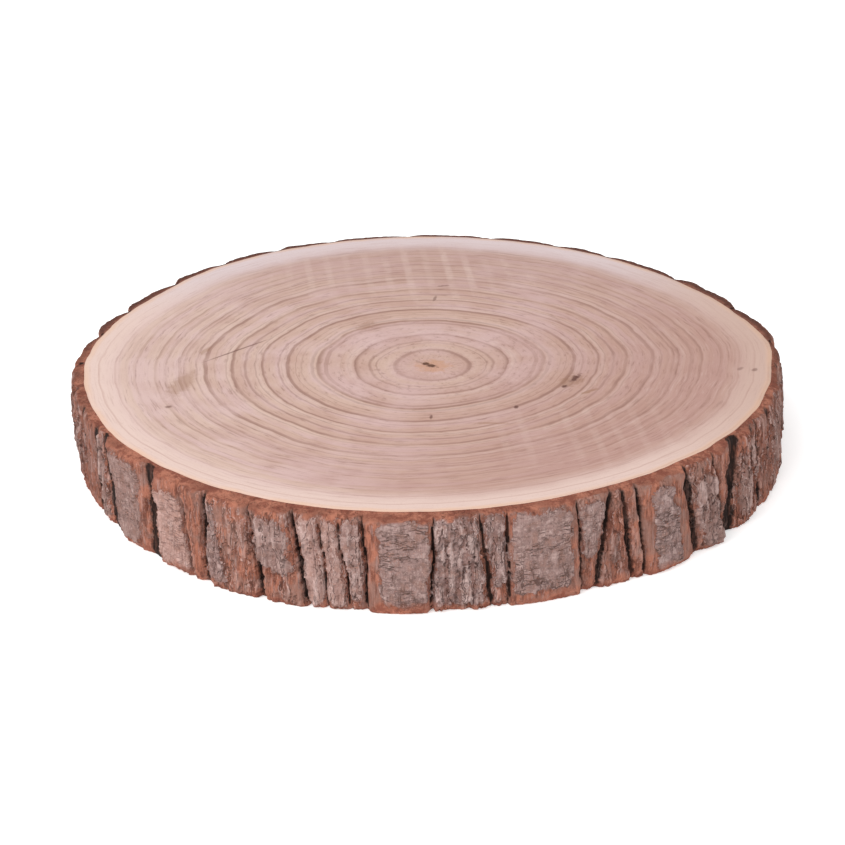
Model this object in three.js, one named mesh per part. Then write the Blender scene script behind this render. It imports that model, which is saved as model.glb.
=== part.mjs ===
// A round slice sawn across a tree trunk: a disc of end-grain wood inside its own ring of fissured bark.
// Millimetres, +Z up. The origin lies on the sawn underside, at the middle of the wood's outline there.
import * as THREE from "three";

// Driving dimensions
const WOOD_RADIUS = 148; // mean radius of the wood, under the bark
const THICKNESS = 40; // between the two saw cuts
const LEAN = 2.4; // how far the trunk leans along -X from the underside to the top
const CAMBIUM_GAP = 0.3; // joint line between the wood and the bark

// The trunk's outline is a circle with three slow swells: lobes round the trunk, height, where one lobe peaks
const SWELLS = [
  { lobes: 2, height: 2.2, peak: 64 },
  { lobes: 3, height: 1.3, peak: -7 },
  { lobes: 4, height: 0.6, peak: -9 },
];

// Where the outline is flatter or fuller than that: middle and spread in degrees, how far out it lies there
const FLATS_AND_BULGES = [
  { at: 7, spread: 9, out: 2.8 },
  { at: 100, spread: 30, out: -1.0 },
  { at: 153, spread: 17, out: -3.2 },
];

// Bark
const INNER_BARK = 2.0; // bark left under the deepest fissure
const PLATE_ROUNDING = 0.9; // how much lower a plate's shoulders are than its crown
const FISSURE_ENDS = 0.5; // share of its depth that a fissure keeps where it meets the rim and the foot
const FISSURE_RUN_OUT = 0.2; // share of the height over which it runs out
const PLATE_ROUGHNESS = 0.6; // how far a plate's face rises and sinks from flake to flake
const RIM_SLOPE = 0.15; // the rim falls outwards by this much of the bark's depth
const RIM_ROUNDING = 0.8; // worn off the bark's upper edge
const FOOT_ROUNDING = 0.9; // worn off the bark's lower edge
const FOOT_FLARE = 0.9; // the bark is this much deeper at the foot than at the rim
const FLAKE_WIDTH = 2.6; // degrees across one flake of a plate's face
const FLAKES_MOST = 4; // across one plate

// Fissures of the front half, in degrees from +X: where each meets the underside (foot) and the top (rim),
// its half width at both, and the crown of the plate that follows it, counted outwards from the wood;
// ends is given for those that cut through to the rim and the foot
const FRONT_FISSURES = [
  { foot: -177, rim: -177, halfFoot: 1.4, halfRim: 1.6, crown: 5.8, ends: 0.9 },
  { foot: -168, rim: -167, halfFoot: 0.9, halfRim: 1.0, crown: 5.2 },
  { foot: -160, rim: -159.5, halfFoot: 1.2, halfRim: 1.5, crown: 4.8 },
  { foot: -152.5, rim: -152, halfFoot: 0.9, halfRim: 0.9, crown: 4.6 },
  { foot: -144.2, rim: -146.3, halfFoot: 1.1, halfRim: 1.7, crown: 5.8 },
  { foot: -133.6, rim: -134, halfFoot: 2.0, halfRim: 2.8, crown: 5.7, ends: 0.8 },
  { foot: -126, rim: -127.8, halfFoot: 0.6, halfRim: 0.9, crown: 7.0 },
  { foot: -123.4, rim: -122.5, halfFoot: 1.2, halfRim: 1.2, crown: 8.0 },
  { foot: -114, rim: -115.6, halfFoot: 1.3, halfRim: 0.8, crown: 8.0 },
  { foot: -107.2, rim: -108.9, halfFoot: 0.9, halfRim: 1.1, crown: 6.4 },
  { foot: -104.4, rim: -105.2, halfFoot: 0.6, halfRim: 0.7, crown: 6.0 },
  { foot: -101.2, rim: -102.4, halfFoot: 0.6, halfRim: 0.7, crown: 5.4 },
  { foot: -98.9, rim: -98.9, halfFoot: 0.8, halfRim: 1.1, crown: 7.3 },
  { foot: -90, rim: -88.9, halfFoot: 0.8, halfRim: 0.8, crown: 4.6 },
  { foot: -81.3, rim: -82.2, halfFoot: 1.2, halfRim: 0.9, crown: 4.6 },
  { foot: -78.6, rim: -78.4, halfFoot: 0.8, halfRim: 0.8, crown: 6.2 },
  { foot: -67, rim: -67.5, halfFoot: 0.7, halfRim: 0.8, crown: 4.8 },
  { foot: -64.6, rim: -61.6, halfFoot: 1.2, halfRim: 1.4, crown: 5.8 },
  { foot: -58.6, rim: -59.6, halfFoot: 1.1, halfRim: 0.9, crown: 6.4 },
  { foot: -56.4, rim: -57.2, halfFoot: 0.7, halfRim: 0.7, crown: 7.0 },
  { foot: -45.2, rim: -47.4, halfFoot: 1.5, halfRim: 1.1, crown: 6.4 },
  { foot: -38.4, rim: -40.6, halfFoot: 0.5, halfRim: 0.7, crown: 6.0 },
  { foot: -37.5, rim: -34.3, halfFoot: 1.2, halfRim: 2.7, crown: 5.6, ends: 0.9 },
  { foot: -29, rim: -28.6, halfFoot: 0.8, halfRim: 0.8, crown: 5.0 },
  { foot: -25.8, rim: -26.4, halfFoot: 1.2, halfRim: 1.2, crown: 4.8 },
  { foot: -20.5, rim: -21, halfFoot: 0.9, halfRim: 1.1, crown: 4.6 },
  { foot: -11, rim: -10.5, halfFoot: 1.3, halfRim: 1.2, crown: 3.4 },
  { foot: -3, rim: -2.5, halfFoot: 0.8, halfRim: 0.9, crown: 3.8 },
];

// The back half: where its deep fissures meet the rim, and the crown of the humped plate that follows each.
// Every plate is split once more, in the middle, by a narrow fissure that stops short of the rim
const BACK_FISSURES = [
  { at: 6.2, crown: 6.6 },
  { at: 22.2, crown: 7.6 },
  { at: 37.8, crown: 6.0 },
  { at: 54.5, crown: 6.0 },
  { at: 64.8, crown: 6.0 },
  { at: 77, crown: 5.0 },
  { at: 94, crown: 5.2 },
  { at: 108, crown: 6.0 },
  { at: 119, crown: 6.6 },
  { at: 130.5, crown: 6.0 },
  { at: 144, crown: 6.0 },
  { at: 158.5, crown: 6.3 },
  { at: 170.5, crown: 5.4 },
];
const BACK_END = 183;
const BACK_STRAY = 2.0; // degrees that a fissure leans from rim to foot
const DEEP = { half: 1.4, ends: 0.95, rounding: 2.0 };
const NARROW = { half: 0.8, ends: 0.15, rounding: 0.4 };

const WOOD_SIDES = 144;
const OUTER_LEVELS = [3, 8, 14, 20, 26, 32, 35.5]; // heights of the bark's own rows between foot and rim

const degrees = THREE.MathUtils.degToRad;
const { lerp, clamp } = THREE.MathUtils;

// A fixed draw between -1 and 1 for each whole number
function draw(n) {
  const scrambled = Math.sin(n * 12.9898) * 43758.5453;
  return 2 * (scrambled - Math.floor(scrambled)) - 1;
}

function woodRadius(angle) {
  const swell = ({ lobes, height, peak }) => height * Math.cos(lobes * (angle - degrees(peak)));
  const local = ({ at, spread, out }) => {
    const turn = THREE.MathUtils.radToDeg(angle) - at;
    const away = THREE.MathUtils.euclideanModulo(turn + 180, 360) - 180;
    return out * Math.exp(-((away / spread) ** 2));
  };
  const parts = [...SWELLS.map(swell), ...FLATS_AND_BULGES.map(local)];
  return parts.reduce((sum, part) => sum + part, WOOD_RADIUS);
}

// A point of the slice: so far outside the wood's outline, at an angle and a height
function pointAt(angle, outside, height) {
  const radius = woodRadius(angle) + outside;
  const lean = LEAN * (height / THICKNESS);
  return new THREE.Vector3(radius * Math.cos(angle) - lean, radius * Math.sin(angle), height);
}

function backFissures() {
  const fissure = (kind, rim, crown, n) => ({
    foot: rim + BACK_STRAY * draw(n),
    rim,
    halfFoot: kind.half * (1 + 0.3 * draw(n + 40)),
    halfRim: kind.half * (1 + 0.3 * draw(n + 80)),
    crown,
    ends: kind.ends,
    rounding: kind.rounding,
  });
  return BACK_FISSURES.flatMap(({ at, crown }, k) => {
    const end = BACK_FISSURES[k + 1]?.at ?? BACK_END;
    const middle = lerp(at, end, 0.5 + 0.12 * draw(k + 120));
    return [fissure(DEEP, at, crown, k), fissure(NARROW, middle, crown, k + 20)];
  });
}

// Columns that run up the bark: a fissure's floor, its shoulder, the plate's flakes, and the next shoulder
function barkColumns() {
  const fissures = [...FRONT_FISSURES, ...backFissures()];
  return fissures.flatMap((left, k) => {
    const next = fissures[(k + 1) % fissures.length];
    const turn = k + 1 === fissures.length ? 360 : 0;
    const along = (share) => {
      const start = lerp(left.foot, left.rim, share);
      const end = lerp(next.foot, next.rim, share) + turn;
      const toDegrees = 180 / Math.PI / WOOD_RADIUS;
      const startShoulder = start + lerp(left.halfFoot, left.halfRim, share) * toDegrees;
      const endShoulder = end - lerp(next.halfFoot, next.halfRim, share) * toDegrees;
      return { start, startShoulder, endShoulder };
    };
    const roundLeft = left.rounding ?? PLATE_ROUNDING;
    const roundNext = next.rounding ?? PLATE_ROUNDING;
    const before = fissures[(k + fissures.length - 1) % fissures.length];
    const brink = Math.min(left.crown, before.crown) - roundLeft;
    const floorAt = (share) => {
      const fromEnd = clamp(Math.min(share, 1 - share) / FISSURE_RUN_OUT, 0, 1);
      return lerp(brink, INNER_BARK, lerp(left.ends ?? FISSURE_ENDS, 1, fromEnd));
    };
    const width = along(0.5).endShoulder - along(0.5).startShoulder;
    const flakes = clamp(Math.round(width / FLAKE_WIDTH), 1, FLAKES_MOST);
    const flakeAt = (_, flake) => {
      const place = (flake + 0.5) / flakes;
      const arch = left.crown - roundLeft * (1 - place) ** 3 - roundNext * place ** 3;
      return {
        angle: (share) => lerp(along(share).startShoulder, along(share).endShoulder, place),
        depth: (share) => arch + PLATE_ROUGHNESS * draw(k * 97 + flake * 13 + Math.round(share * 12)),
      };
    };
    return [
      { angle: (share) => along(share).start, depth: floorAt },
      { angle: (share) => along(share).startShoulder, depth: () => left.crown - roundLeft },
      ...Array.from({ length: flakes }, flakeAt),
      { angle: (share) => along(share).endShoulder, depth: () => left.crown - roundNext },
    ];
  });
}

// The bark's section, from the inner foot out, up and back in to the inner rim: heights and depths
function barkSection(column) {
  const depthAt = (height) => {
    const share = height / THICKNESS;
    return column.depth(share) + FOOT_FLARE * (1 - share) ** 2;
  };
  const rim = depthAt(THICKNESS) - RIM_ROUNDING;
  return [
    { height: 0, depth: CAMBIUM_GAP },
    { height: 0, depth: depthAt(0) - FOOT_ROUNDING },
    ...OUTER_LEVELS.map((height) => ({ height, depth: depthAt(height) })),
    { height: THICKNESS - RIM_SLOPE * rim - RIM_ROUNDING, depth: rim + RIM_ROUNDING / 2 },
    { height: THICKNESS - RIM_SLOPE * rim, depth: rim - RIM_ROUNDING / 2 },
    { height: THICKNESS, depth: CAMBIUM_GAP },
    { height: 0, depth: CAMBIUM_GAP },
  ];
}

// A lathe of that many rows and columns, whose points are then set one by one
function shapedLathe(rows, columns, placed) {
  const profile = Array.from({ length: rows }, (_, row) => new THREE.Vector2(1, row));
  const geometry = new THREE.LatheGeometry(profile, columns);
  const position = geometry.getAttribute("position");
  for (let column = 0; column <= columns; column += 1) {
    for (let row = 0; row < rows; row += 1) {
      position.setXYZ(column * rows + row, ...placed(column % columns, row));
    }
  }
  geometry.deleteAttribute("normal");
  geometry.deleteAttribute("uv");
  geometry.computeVertexNormals();
  return geometry;
}

function woodGeometry() {
  const middle = (height) => new THREE.Vector3(-LEAN * (height / THICKNESS), 0, height);
  return shapedLathe(4, WOOD_SIDES, (column, row) => {
    const angle = (2 * Math.PI * column) / WOOD_SIDES;
    return [middle(0), pointAt(angle, 0, 0), pointAt(angle, 0, THICKNESS), middle(THICKNESS)][row];
  });
}

function barkGeometry() {
  const columns = barkColumns();
  const sections = columns.map(barkSection);
  return shapedLathe(sections[0].length, columns.length, (column, row) => {
    const { height, depth } = sections[column][row];
    const angle = degrees(columns[column].angle(height / THICKNESS));
    return pointAt(angle, depth, height);
  });
}

const wood = new THREE.Mesh(
  woodGeometry(),
  new THREE.MeshStandardMaterial({ color: 0xcfaea4, roughness: 0.75, metalness: 0 }),
);
wood.name = "wood";

const bark = new THREE.Mesh(
  barkGeometry(),
  new THREE.MeshStandardMaterial({ color: 0x8f6f66, roughness: 0.95, metalness: 0 }),
);
bark.name = "bark";

const woodSlice = new THREE.Group();
woodSlice.name = "wood_slice";
woodSlice.add(wood, bark);

export default woodSlice;
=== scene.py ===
import bisect
import math

import bmesh
import bpy
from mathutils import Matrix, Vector, noise


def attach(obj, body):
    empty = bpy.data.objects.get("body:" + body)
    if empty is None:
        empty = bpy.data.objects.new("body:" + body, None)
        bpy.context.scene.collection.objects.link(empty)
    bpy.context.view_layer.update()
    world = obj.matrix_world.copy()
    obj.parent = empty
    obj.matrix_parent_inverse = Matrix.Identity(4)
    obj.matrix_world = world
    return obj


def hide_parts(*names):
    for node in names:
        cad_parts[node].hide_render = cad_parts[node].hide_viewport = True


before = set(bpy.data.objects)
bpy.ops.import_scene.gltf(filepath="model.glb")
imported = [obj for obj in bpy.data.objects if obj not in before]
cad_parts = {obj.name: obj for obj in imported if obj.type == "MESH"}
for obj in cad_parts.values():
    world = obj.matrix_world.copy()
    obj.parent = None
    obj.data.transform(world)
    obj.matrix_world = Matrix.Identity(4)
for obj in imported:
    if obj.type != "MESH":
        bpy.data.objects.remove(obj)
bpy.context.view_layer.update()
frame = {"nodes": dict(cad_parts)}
print("frame loaded:", ", ".join(frame["nodes"]))

# the slice as it was cut: millimetres, turned into metres when a mesh is finished
cut = {
    "woodRadius": 148.0,
    "thickness": 40.0,
    "lean": 2.4,  # the trunk leans this far along -X from underside to top
    "swells": [(2, 2.2, 64.0), (3, 1.3, -7.0), (4, 0.6, -9.0)],  # lobes, height, where one peaks
    # where the outline is flatter or fuller: middle and spread in degrees, how far out it lies
    "flatsAndBulges": [(7.0, 9.0, 2.8), (100.0, 30.0, -1.0), (153.0, 17.0, -3.2)],
    "ripples": [(8.0, 0.7), (24.0, 0.35)],  # small unevenness of the outline: how often, how high
    "pith": (3.2, -11.3),  # from the middle of the outline
}
millimetre = 0.001
mergeDistance = 0.001  # in millimetres
fullTurn = 2.0 * math.pi


def smooth(low, high, value):
    share = min(1.0, max(0.0, (value - low) / (high - low)))
    return share * share * (3.0 - 2.0 * share)


def blendBetween(a, b, share):
    return a + (b - a) * share


# a fixed draw between -1 and 1 for each number
def draw(n):
    scrambled = math.sin(n * 12.9898) * 43758.5453
    return 2.0 * (scrambled - math.floor(scrambled)) - 1.0


def onCircle(radius, angle, height):
    return Vector((radius * math.cos(angle), radius * math.sin(angle), height))


def woodRadiusAt(angle):
    radius = cut["woodRadius"]
    for lobes, height, peak in cut["swells"]:
        radius += height * math.cos(lobes * (angle - math.radians(peak)))
    for middle, spread, out in cut["flatsAndBulges"]:
        away = (math.degrees(angle) - middle + 180.0) % 360.0 - 180.0
        radius += out * math.exp(-((away / spread) ** 2))
    for scale, height in cut["ripples"]:
        radius += height * noise.noise(onCircle(scale, angle, scale))
    return radius


def sliceMiddle(height):
    return Vector((-cut["lean"] * height / cut["thickness"], 0.0, height))


# materials: colours are given as screen values out of 255
def paint(red, green, blue):
    def linear(value):
        value /= 255.0
        return value / 12.92 if value <= 0.04045 else ((value + 0.055) / 1.055) ** 2.4
    return (linear(red), linear(green), linear(blue), 1.0)


def addNode(tree, kind, values=(), settings=None):
    node = tree.nodes.new(kind)
    for name, value in (settings or {}).items():
        setattr(node, name, value)
    pairs = values.items() if isinstance(values, dict) else enumerate(values)
    for socket, value in pairs:
        if isinstance(value, bpy.types.NodeSocket):
            tree.links.new(value, node.inputs[socket])
        else:
            node.inputs[socket].default_value = value
    return node


def calculate(tree, operation, *values):
    return addNode(tree, "ShaderNodeMath", values, {"operation": operation}).outputs[0]


def product(tree, first, *others):
    for value in others:
        first = calculate(tree, "MULTIPLY", first, value)
    return first


# a value pushed up and down by a cloud, by half the reach each way at most
def strayed(tree, value, cloudy, reach):
    return calculate(tree, "MULTIPLY_ADD", calculate(tree, "SUBTRACT", cloudy, 0.5), reach, value)


def vectorWork(tree, operation, *values):
    node = addNode(tree, "ShaderNodeVectorMath", values, {"operation": operation})
    return node.outputs["Value" if operation == "LENGTH" else "Vector"]


def scaledCoords(tree, coords, factor):
    return vectorWork(tree, "MULTIPLY", coords, (factor, factor, factor))


def remap(tree, value, fromLow, fromHigh, toLow=0.0, toHigh=1.0, style="SMOOTHSTEP"):
    limits = [value, fromLow, fromHigh, toLow, toHigh]
    return addNode(tree, "ShaderNodeMapRange", limits, {"interpolation_type": style}).outputs[0]


# a marking from where it starts to where it is full, and how strongly it then shows
def marking(tree, value, limits, style="SMOOTHSTEP"):
    start, full, weight = limits
    return remap(tree, value, start, full, 0.0, weight, style)


# a band across a value: where it rises and where it falls again
def band(tree, value, limits):
    rise, fall = limits
    return product(tree, remap(tree, value, *rise), remap(tree, value, *fall))


# a thin line along the middle of a cloud
def crease(tree, cloudy, limits):
    away = calculate(tree, "ABSOLUTE", calculate(tree, "SUBTRACT", cloudy, 0.5))
    return remap(tree, away, *limits)


def mixColour(tree, share, first, second):
    values = {0: share, 6: first, 7: second}
    return addNode(tree, "ShaderNodeMix", values, {"data_type": "RGBA"}).outputs[2]


def tint(tree, colour, over, *masks):
    return mixColour(tree, product(tree, *masks), colour, over)


def cloud(tree, coords, scale, detail, rough, kind="3D"):
    values = {"Scale": scale, "Detail": detail, "Roughness": rough}
    values["W" if kind == "1D" else "Vector"] = coords
    return addNode(tree, "ShaderNodeTexNoise", values, {"noise_dimensions": kind}).outputs["Fac"]


# a fixed draw between 0 and 1 for each whole number
def luckOf(tree, value):
    values = {"W": calculate(tree, "FLOOR", value)}
    return addNode(tree, "ShaderNodeTexWhiteNoise", values, {"noise_dimensions": "1D"}).outputs["Value"]


def readAttribute(tree, name):
    return addNode(tree, "ShaderNodeAttribute", settings={"attribute_name": name}).outputs["Fac"]


def objectMillimetres(tree):
    coords = addNode(tree, "ShaderNodeTexCoord").outputs["Object"]
    return scaledCoords(tree, coords, 1.0 / millimetre)


def newMaterial(name):
    material = bpy.data.materials.new(name)
    material.use_nodes = True
    tree = material.node_tree
    tree.nodes.clear()
    surface = tree.nodes.new("ShaderNodeBsdfPrincipled")
    output = tree.nodes.new("ShaderNodeOutputMaterial")
    tree.links.new(surface.outputs[0], output.inputs[0])
    return material, tree, surface


def addBump(tree, surface, height, strength, distance):
    bump = addNode(tree, "ShaderNodeBump", {"Strength": strength, "Distance": distance, "Height": height})
    tree.links.new(bump.outputs[0], surface.inputs["Normal"])


# one soft-edged mark on a flat face: a stretched patch at a place, its edge broken by a cloud
markEdge = {"cloud": (0.4, 4.0, 0.55), "starts": 1.0, "full": 0.35}


def makeMarkGroup():
    group = bpy.data.node_groups.new("mark on the face", "ShaderNodeTree")
    for name in ("Coords", "Centre"):
        group.interface.new_socket(name=name, in_out="INPUT", socket_type="NodeSocketVector")
    for name in ("Turn", "Length", "Width", "Ragged"):
        group.interface.new_socket(name=name, in_out="INPUT", socket_type="NodeSocketFloat")
    group.interface.new_socket(name="Mask", in_out="OUTPUT", socket_type="NodeSocketFloat")
    inside = group.nodes.new("NodeGroupInput").outputs
    result = group.nodes.new("NodeGroupOutput")
    away = vectorWork(group, "SUBTRACT", inside["Coords"], inside["Centre"])
    flat = vectorWork(group, "MULTIPLY", away, (1, 1, 0))
    turned = addNode(group, "ShaderNodeVectorRotate", {"Vector": flat, "Angle": inside["Turn"]},
                     {"rotation_type": "Z_AXIS"}).outputs[0]
    size = addNode(group, "ShaderNodeCombineXYZ", [inside["Length"], inside["Width"], 1.0]).outputs[0]
    reach = vectorWork(group, "LENGTH", vectorWork(group, "DIVIDE", turned, size))
    frayed = strayed(group, reach, cloud(group, inside["Coords"], *markEdge["cloud"]), inside["Ragged"])
    group.links.new(remap(group, frayed, markEdge["starts"], markEdge["full"]), result.inputs[0])
    return group


markGroup = makeMarkGroup()


def markMask(tree, coords, centre, turn, length, width, ragged):
    values = {
        "Coords": coords,
        "Centre": (centre[0], centre[1], 0.0),
        "Turn": math.radians(-turn),
        "Length": length,
        "Width": width,
        "Ragged": ragged,
    }
    return addNode(tree, "ShaderNodeGroup", values, {"node_tree": markGroup}).outputs["Mask"]


def finishPiece(bm, name, body, nodeName, material, values):
    bmesh.ops.scale(bm, vec=(millimetre,) * 3, verts=bm.verts[:])
    mesh = bpy.data.meshes.new(name)
    bm.to_mesh(mesh)
    bm.free()
    for attribute, numbers in values.items():
        layer = mesh.attributes.new(attribute, "FLOAT", "POINT")
        layer.data.foreach_set("value", numbers)
    mesh.shade_smooth()
    mesh.materials.append(material)
    piece = bpy.data.objects.new(name, mesh)
    bpy.context.collection.objects.link(piece)
    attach(piece, body)
    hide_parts(nodeName)
    print(name, "made:", len(mesh.polygons), "faces")


# wood: the end-grain disc
wood = {
    "steps": 360,
    # where each growth ring ends, as a share of the way from the pith to the bark
    "rings": [0.118, 0.228, 0.332, 0.42, 0.492, 0.578, 0.655, 0.73, 0.797, 0.858, 0.912, 0.958, 1.0],
    "pithLoops": [0.0, 0.04, 0.08],  # loops of the mesh inside the first ring
    "edgeLoop": 0.985,
    "edge": 0.25,  # taken off the disc's two edges
    "heart": paint(207, 175, 171),
    "heartTan": paint(203, 171, 156),
    "heartDeep": paint(182, 142, 131),
    "heartBack": paint(184, 149, 140),
    "late": paint(134, 97, 86),
    "halo": paint(184, 144, 128),
    "pale": paint(226, 202, 192),
    "cream": paint(226, 200, 190),
    # painted highlight: a whiter, bluish cream for the sapwood at the back
    "creamHighlightBack": paint(220, 203, 204),
    # painted shade: a darker cream for the sapwood to the right
    "creamShadeRight": paint(204, 174, 161),
    "cambium": paint(224, 184, 156),
    "pithColour": paint(196, 138, 98),
    "pithDark": paint(84, 52, 36),
    "stain": paint(150, 110, 84),
    "knot": paint(92, 54, 46),
    # clouds: waves to the millimetre (or to the year, or about the pith), finer layers, their strength
    "slowBend": (0.011, 2.0, 0.55),
    "fineBend": (0.05, 3.0, 0.55),
    "patches": (0.03, 3.0, 0.55),
    "tan": (0.03, 4.0, 0.55),
    "mottle": (0.055, 4.0, 0.55),
    "sawDrift": (0.02, 2.0, 0.55),
    "sawBreaks": (0.12, 2.0, 0.55),
    "pores": (1.1, 3.0, 0.65),
    "yearBands": (1.3, 2.0, 0.6),
    "yearLines": (5.0, 2.0, 0.6),
    "dashes": (9.0, 4.0, 0.65),
    # rings: how many years a line strays, then what each part of a year holds and how strongly
    "slowStray": 0.8,
    "fineStray": 0.12,
    "lateBand": ((0.8, 0.92), (0.99, 0.94)),
    "lateWeight": 0.7,
    "haloBand": ((0.3, 0.86), (1.0, 0.9)),
    "haloWeight": 0.38,
    "earlyBand": ((0.0, 0.05), (0.3, 0.08)),
    "earlyWeight": 0.26,
    "faintest": 0.55,  # of all rings, against 1 for the strongest
    "fadeByAge": ((1.0, 0.5, 0.2, 1.0), (0.02, 0.1)),
    "fadeInPatches": (0.32, 0.62, 0.35, 1.0),
    "fadeAtBack": (45.0, 95.0, 1.0, 0.45),
    "fadeAtFront": (-65.0, -110.0, 1.0, 0.5),
    # markings: start, full, weight, on a cloud
    "tanByYear": 0.5,  # the rest goes by place
    "tanPatches": (0.4, 0.58, 1.0),
    "deepMottle": (0.4, 0.7, 0.45),
    "paleDashes": (0.47, 0.3, 0.2),
    "darkDashes": (0.52, 0.72, 0.5),
    "sapDashes": (0.5, 0.7, 0.25),
    "fineLines": (0.52, 0.68, 0.46),
    "openPores": (0.52, 0.75, 1.0),
    "poreWeight": 0.22,
    # the same over the face, in millimetres: painted shade to the front right, painted light to the left,
    # browner to the back, a painted highlight on the sapwood at the back, painted shade on the sapwood to
    # the right
    "frontLean": -0.6,
    "paintedShadeFrontRight": (-20.0, 140.0, 0.85),
    "paintedLightLeft": (-10.0, -130.0, 0.28),
    "deepBack": (40.0, 135.0, 0.62),
    "paintedHighlightSapBack": (30.0, 110.0, 1.0),
    "paintedShadeSapRight": (70.0, 150.0, 1.0),
    "sapLines": (60.0, -30.0, 0.08, 0.4),
    # and over the way from the pith to the bark
    "sapStray": 0.05,
    "sapEdge": (0.85, 0.96, 0.9),
    "cambiumEdge": (0.975, 0.994, 1.0),
    "cambiumBreaks": (0.35, 0.6, 0.25, 0.65),
    "sawStep": 9.4,  # from one saw mark to the next
    "sawStray": 3.0,
    "sawSlant": 0.11,
    "sawZones": [((66, -80), 62, 48, 0.4), ((-16, 100), 78, 46, 1.0)],  # middle, half sizes, weight
    "sawRagged": 1.0,
    "sawFaintest": 0.35,
    "sawThin": (0.35, 0.6, 0.4, 1.0),
    "sawWeight": 0.36,
    # single marks: middle, turn, half length, half width, raggedness, weight, colour
    "pithMarks": [  # placed from the pith
        ((0, 0), 0, 10, 9, 1.2, 0.5, "pithColour"), ((-2.0, 1.5), -42, 7.0, 2.0, 2.6, 0.9, "pithDark"),
    ],
    "marks": [
        ((-105, -31), 75, 19, 6, 1.0, 0.42, "stain"), ((-84, 6), 44, 25, 0.8, 0.5, 0.6, "knot"),
        ((59, -27), 58, 11, 6, 1.4, 0.5, "stain"), ((61, -24), 60, 5.5, 2.0, 2.2, 0.85, "knot"),
        ((56, -33), 50, 2.2, 1.5, 1.2, 0.85, "knot"), ((66, -38), 40, 7, 1.6, 1.6, 0.6, "stain"),
        ((35, -54), 80, 2.4, 1.2, 1.2, 0.8, "knot"), ((0, -64), 85, 3.0, 0.9, 1.2, 0.7, "knot"),
        ((138, -15), 60, 2.2, 1.6, 1.2, 0.5, "knot"), ((132, -14), 60, 2.6, 1.4, 1.2, 0.4, "knot"),
        ((6, 83), 10, 4.0, 1.2, 1.4, 0.5, "knot"), ((2, 67), 80, 5.0, 1.0, 1.2, 0.5, "knot"),
        ((-29, 34), 60, 8.0, 4.0, 1.6, 0.38, "stain"), ((-98, 5), 70, 6.0, 2.0, 1.6, 0.45, "stain"),
        ((24, -70), 0, 9.0, 1.2, 1.8, 0.45, "stain"), ((-108, -54), 30, 2.0, 1.5, 1.2, 0.6, "knot"),
    ],
    "roughness": 0.72,
    "poreRoughness": 0.85,
    "specular": 0.25,
    "sawHeight": 0.4,
    "poreDepth": 0.5,
    "bump": (0.25, 0.0004),  # strength, metres
}
pithOnTop = (cut["pith"][0] - cut["lean"], cut["pith"][1])


# growth rings: thin late lines with a halo inside them, finer lines and dashes between
def ringMasks(tree, coords, place, age):
    slowBend = cloud(tree, coords, *wood["slowBend"])
    fineBend = cloud(tree, coords, *wood["fineBend"])
    year = strayed(tree, readAttribute(tree, "year"), slowBend, wood["slowStray"])
    year = strayed(tree, year, fineBend, wood["fineStray"])
    within = calculate(tree, "FRACT", year)
    patchy = remap(tree, cloud(tree, coords, *wood["patches"]), *wood["fadeInPatches"])
    fade = product(tree, band(tree, age, wood["fadeByAge"]), patchy)
    luck = remap(tree, luckOf(tree, year), 0.0, 1.0, wood["faintest"], 1.0, "LINEAR")
    strength = product(tree, luck, fade, remap(tree, place["Y"], *wood["fadeAtBack"]),
                       remap(tree, place["Y"], *wood["fadeAtFront"]))
    fine = marking(tree, cloud(tree, year, *wood["yearLines"], "1D"), wood["fineLines"])
    away = vectorWork(tree, "SUBTRACT", coords, (*pithOnTop, 0.0))
    facing = vectorWork(tree, "NORMALIZE", vectorWork(tree, "MULTIPLY", away, (1, 1, 0)))
    along = addNode(tree, "ShaderNodeCombineXYZ", [0.0, 0.0, year]).outputs[0]
    lateLine = band(tree, within, wood["lateBand"])
    return {
        "fineBend": fineBend,
        "bands": cloud(tree, year, *wood["yearBands"], "1D"),
        "dashes": cloud(tree, vectorWork(tree, "ADD", facing, along), *wood["dashes"]),
        "lateLine": lateLine,
        "fine": product(tree, fine, fade),
        "halo": product(tree, band(tree, within, wood["haloBand"]), strength, wood["haloWeight"]),
        "early": product(tree, band(tree, within, wood["earlyBand"]), strength, wood["earlyWeight"]),
        "late": product(tree, lateLine, strength, wood["lateWeight"]),
    }


# pinkish heart with tan in it, painted shade to the front right and painted light to the left, browner to
# the back, then the rings
def heartColour(tree, coords, place, rings):
    byPlace = product(tree, cloud(tree, coords, *wood["tan"]), 1.0 - wood["tanByYear"])
    tan = calculate(tree, "MULTIPLY_ADD", rings["bands"], wood["tanByYear"], byPlace)
    frontRight = calculate(tree, "MULTIPLY_ADD", place["Y"], wood["frontLean"], place["X"])
    mottle = cloud(tree, coords, *wood["mottle"])
    colour = mixColour(tree, marking(tree, tan, wood["tanPatches"]), wood["heart"], wood["heartTan"])
    colour = tint(tree, colour, wood["heartDeep"], marking(tree, mottle, wood["deepMottle"]))
    # painted shade darkens the front right and painted light pales the left, for the key light's fall across
    # the face
    colour = tint(tree, colour, wood["heartDeep"], marking(tree, frontRight, wood["paintedShadeFrontRight"]))
    colour = tint(tree, colour, wood["pale"], marking(tree, place["X"], wood["paintedLightLeft"]))
    colour = tint(tree, colour, wood["heartBack"], marking(tree, place["Y"], wood["deepBack"]))
    colour = tint(tree, colour, wood["pale"], marking(tree, rings["dashes"], wood["paleDashes"]))
    colour = tint(tree, colour, wood["late"], marking(tree, rings["dashes"], wood["darkDashes"]))
    for mask, over in (("fine", "late"), ("halo", "halo"), ("early", "pale"), ("late", "late")):
        colour = tint(tree, colour, wood[over], rings[mask])
    return colour
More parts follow.
